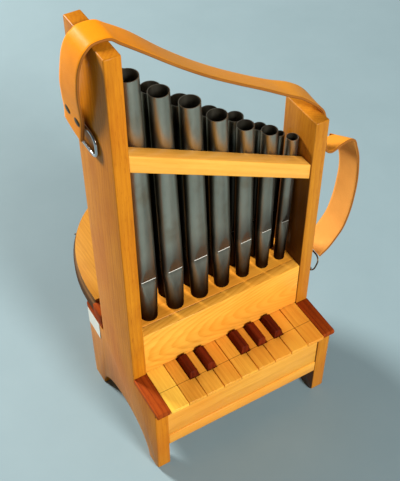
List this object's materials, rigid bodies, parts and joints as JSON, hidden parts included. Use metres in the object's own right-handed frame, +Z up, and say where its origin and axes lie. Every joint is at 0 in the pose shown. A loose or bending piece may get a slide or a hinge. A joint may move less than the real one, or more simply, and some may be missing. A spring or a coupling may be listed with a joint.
{
  "type": "portative organ",
  "caption": "Portative pipe organ: uprights of unequal height, metal flue pipes behind a sloping rail, short keyboard, hinged rear bellows and leather shoulder strap.",
  "frame": {"origin": "centre of the footprint of the whole part, on the surface that it stands on", "axes": "+Z up along the uprights, -Y towards the keys, +X to the treble side"},
  "size_m": [0.2974, 0.3128, 0.5434],
  "materials": {
    "honey_wood": "varnished maple",
    "pale_key_wood": "varnished, pale",
    "pale_board_wood": "varnished, pale",
    "mahogany": "varnished red brown",
    "pipe_metal": "dull grey metal",
    "bellows_leather": "soft brown",
    "strap_leather": "smooth orange tan",
    "bright_fitting": "polished"
  },
  "bodies": {
    "case": {"left_side_board": "honey_wood", "right_side_board": "honey_wood", "name_board": "honey_wood", "toe_board": "honey_wood", "pipe_rail": "honey_wood", "key_slip": "honey_wood", "lower_rail": "honey_wood", "bottom_board": "honey_wood", "back_board": "honey_wood", "base_top_board": "honey_wood", "chest_back": "honey_wood", "key_pivot_rail": "honey_wood", "left_key_cheek": "mahogany", "right_key_cheek": "mahogany", "bellows_block": "mahogany", "bellows_bottom_board": "mahogany", "bellows_folds": "bellows_leather", "front_pipe_1": "pipe_metal", "front_pipe_2": "pipe_metal", "front_pipe_3": "pipe_metal", "front_pipe_4": "pipe_metal", "front_pipe_5": "pipe_metal", "front_pipe_6": "pipe_metal", "front_pipe_7": "pipe_metal", "rear_pipe_1": "pipe_metal", "rear_pipe_2": "pipe_metal", "rear_pipe_3": "pipe_metal", "rear_pipe_4": "pipe_metal", "rear_pipe_5": "pipe_metal", "rear_pipe_6": "pipe_metal", "rear_pipe_7": "pipe_metal", "shoulder_strap": "strap_leather", "left_strap_fitting": "bright_fitting", "right_strap_fitting": "bright_fitting"},
    "bellows_lid": {"bellows_top_board": "pale_board_wood"},
    "natural_key_1_lever": {"natural_key_1": "pale_key_wood"},
    "natural_key_2_lever": {"natural_key_2": "pale_key_wood"},
    "natural_key_3_lever": {"natural_key_3": "pale_key_wood"},
    "natural_key_4_lever": {"natural_key_4": "pale_key_wood"},
    "natural_key_5_lever": {"natural_key_5": "pale_key_wood"},
    "natural_key_6_lever": {"natural_key_6": "pale_key_wood"},
    "natural_key_7_lever": {"natural_key_7": "pale_key_wood"},
    "natural_key_8_lever": {"natural_key_8": "pale_key_wood"},
    "natural_key_9_lever": {"natural_key_9": "pale_key_wood"},
    "sharp_key_1_lever": {"sharp_key_1": "mahogany"},
    "sharp_key_2_lever": {"sharp_key_2": "mahogany"},
    "sharp_key_3_lever": {"sharp_key_3": "mahogany"},
    "sharp_key_4_lever": {"sharp_key_4": "mahogany"},
    "sharp_key_5_lever": {"sharp_key_5": "mahogany"}
  },
  "joints": [
    {"name": "bellows_hinge", "type": "hinge", "parent": "case", "child": "bellows_lid", "pos_m": [-0.01993, -0.0026, 0.148], "axis": [1, 0, 0], "range_deg": [0, 22], "deforming": ["bellows_folds"]},
    {"name": "natural_key_1_hinge", "type": "hinge", "parent": "case", "child": "natural_key_1_lever", "pos_m": [-0.01993, -0.0716, 0.1144], "axis": [1, 0, 0], "range_deg": [0, 2], "stiffness_Nm_per_rad": 0.3, "springref_deg": -9.74},
    {"name": "natural_key_2_hinge", "type": "hinge", "parent": "case", "child": "natural_key_2_lever", "pos_m": [-0.01993, -0.0716, 0.1144], "axis": [1, 0, 0], "range_deg": [0, 2], "stiffness_Nm_per_rad": 0.3, "springref_deg": -9.74},
    {"name": "natural_key_3_hinge", "type": "hinge", "parent": "case", "child": "natural_key_3_lever", "pos_m": [-0.01993, -0.0716, 0.1144], "axis": [1, 0, 0], "range_deg": [0, 2], "stiffness_Nm_per_rad": 0.3, "springref_deg": -9.74},
    {"name": "natural_key_4_hinge", "type": "hinge", "parent": "case", "child": "natural_key_4_lever", "pos_m": [-0.01993, -0.0716, 0.1144], "axis": [1, 0, 0], "range_deg": [0, 2], "stiffness_Nm_per_rad": 0.3, "springref_deg": -9.74},
    {"name": "natural_key_5_hinge", "type": "hinge", "parent": "case", "child": "natural_key_5_lever", "pos_m": [-0.01993, -0.0716, 0.1144], "axis": [1, 0, 0], "range_deg": [0, 2], "stiffness_Nm_per_rad": 0.3, "springref_deg": -9.74},
    {"name": "natural_key_6_hinge", "type": "hinge", "parent": "case", "child": "natural_key_6_lever", "pos_m": [-0.01993, -0.0716, 0.1144], "axis": [1, 0, 0], "range_deg": [0, 2], "stiffness_Nm_per_rad": 0.3, "springref_deg": -9.74},
    {"name": "natural_key_7_hinge", "type": "hinge", "parent": "case", "child": "natural_key_7_lever", "pos_m": [-0.01993, -0.0716, 0.1144], "axis": [1, 0, 0], "range_deg": [0, 2], "stiffness_Nm_per_rad": 0.3, "springref_deg": -9.74},
    {"name": "natural_key_8_hinge", "type": "hinge", "parent": "case", "child": "natural_key_8_lever", "pos_m": [-0.01993, -0.0716, 0.1144], "axis": [1, 0, 0], "range_deg": [0, 2], "stiffness_Nm_per_rad": 0.3, "springref_deg": -9.74},
    {"name": "natural_key_9_hinge", "type": "hinge", "parent": "case", "child": "natural_key_9_lever", "pos_m": [-0.01993, -0.0716, 0.1144], "axis": [1, 0, 0], "range_deg": [0, 2], "stiffness_Nm_per_rad": 0.3, "springref_deg": -9.74},
    {"name": "sharp_key_1_hinge", "type": "hinge", "parent": "case", "child": "sharp_key_1_lever", "pos_m": [-0.01993, -0.0716, 0.1144], "axis": [1, 0, 0], "range_deg": [0, 2], "stiffness_Nm_per_rad": 0.3, "springref_deg": -9.74},
    {"name": "sharp_key_2_hinge", "type": "hinge", "parent": "case", "child": "sharp_key_2_lever", "pos_m": [-0.01993, -0.0716, 0.1144], "axis": [1, 0, 0], "range_deg": [0, 2], "stiffness_Nm_per_rad": 0.3, "springref_deg": -9.74},
    {"name": "sharp_key_3_hinge", "type": "hinge", "parent": "case", "child": "sharp_key_3_lever", "pos_m": [-0.01993, -0.0716, 0.1144], "axis": [1, 0, 0], "range_deg": [0, 2], "stiffness_Nm_per_rad": 0.3, "springref_deg": -9.74},
    {"name": "sharp_key_4_hinge", "type": "hinge", "parent": "case", "child": "sharp_key_4_lever", "pos_m": [-0.01993, -0.0716, 0.1144], "axis": [1, 0, 0], "range_deg": [0, 2], "stiffness_Nm_per_rad": 0.3, "springref_deg": -9.74},
    {"name": "sharp_key_5_hinge", "type": "hinge", "parent": "case", "child": "sharp_key_5_lever", "pos_m": [-0.01993, -0.0716, 0.1144], "axis": [1, 0, 0], "range_deg": [0, 2], "stiffness_Nm_per_rad": 0.3, "springref_deg": -9.74}
  ]
}
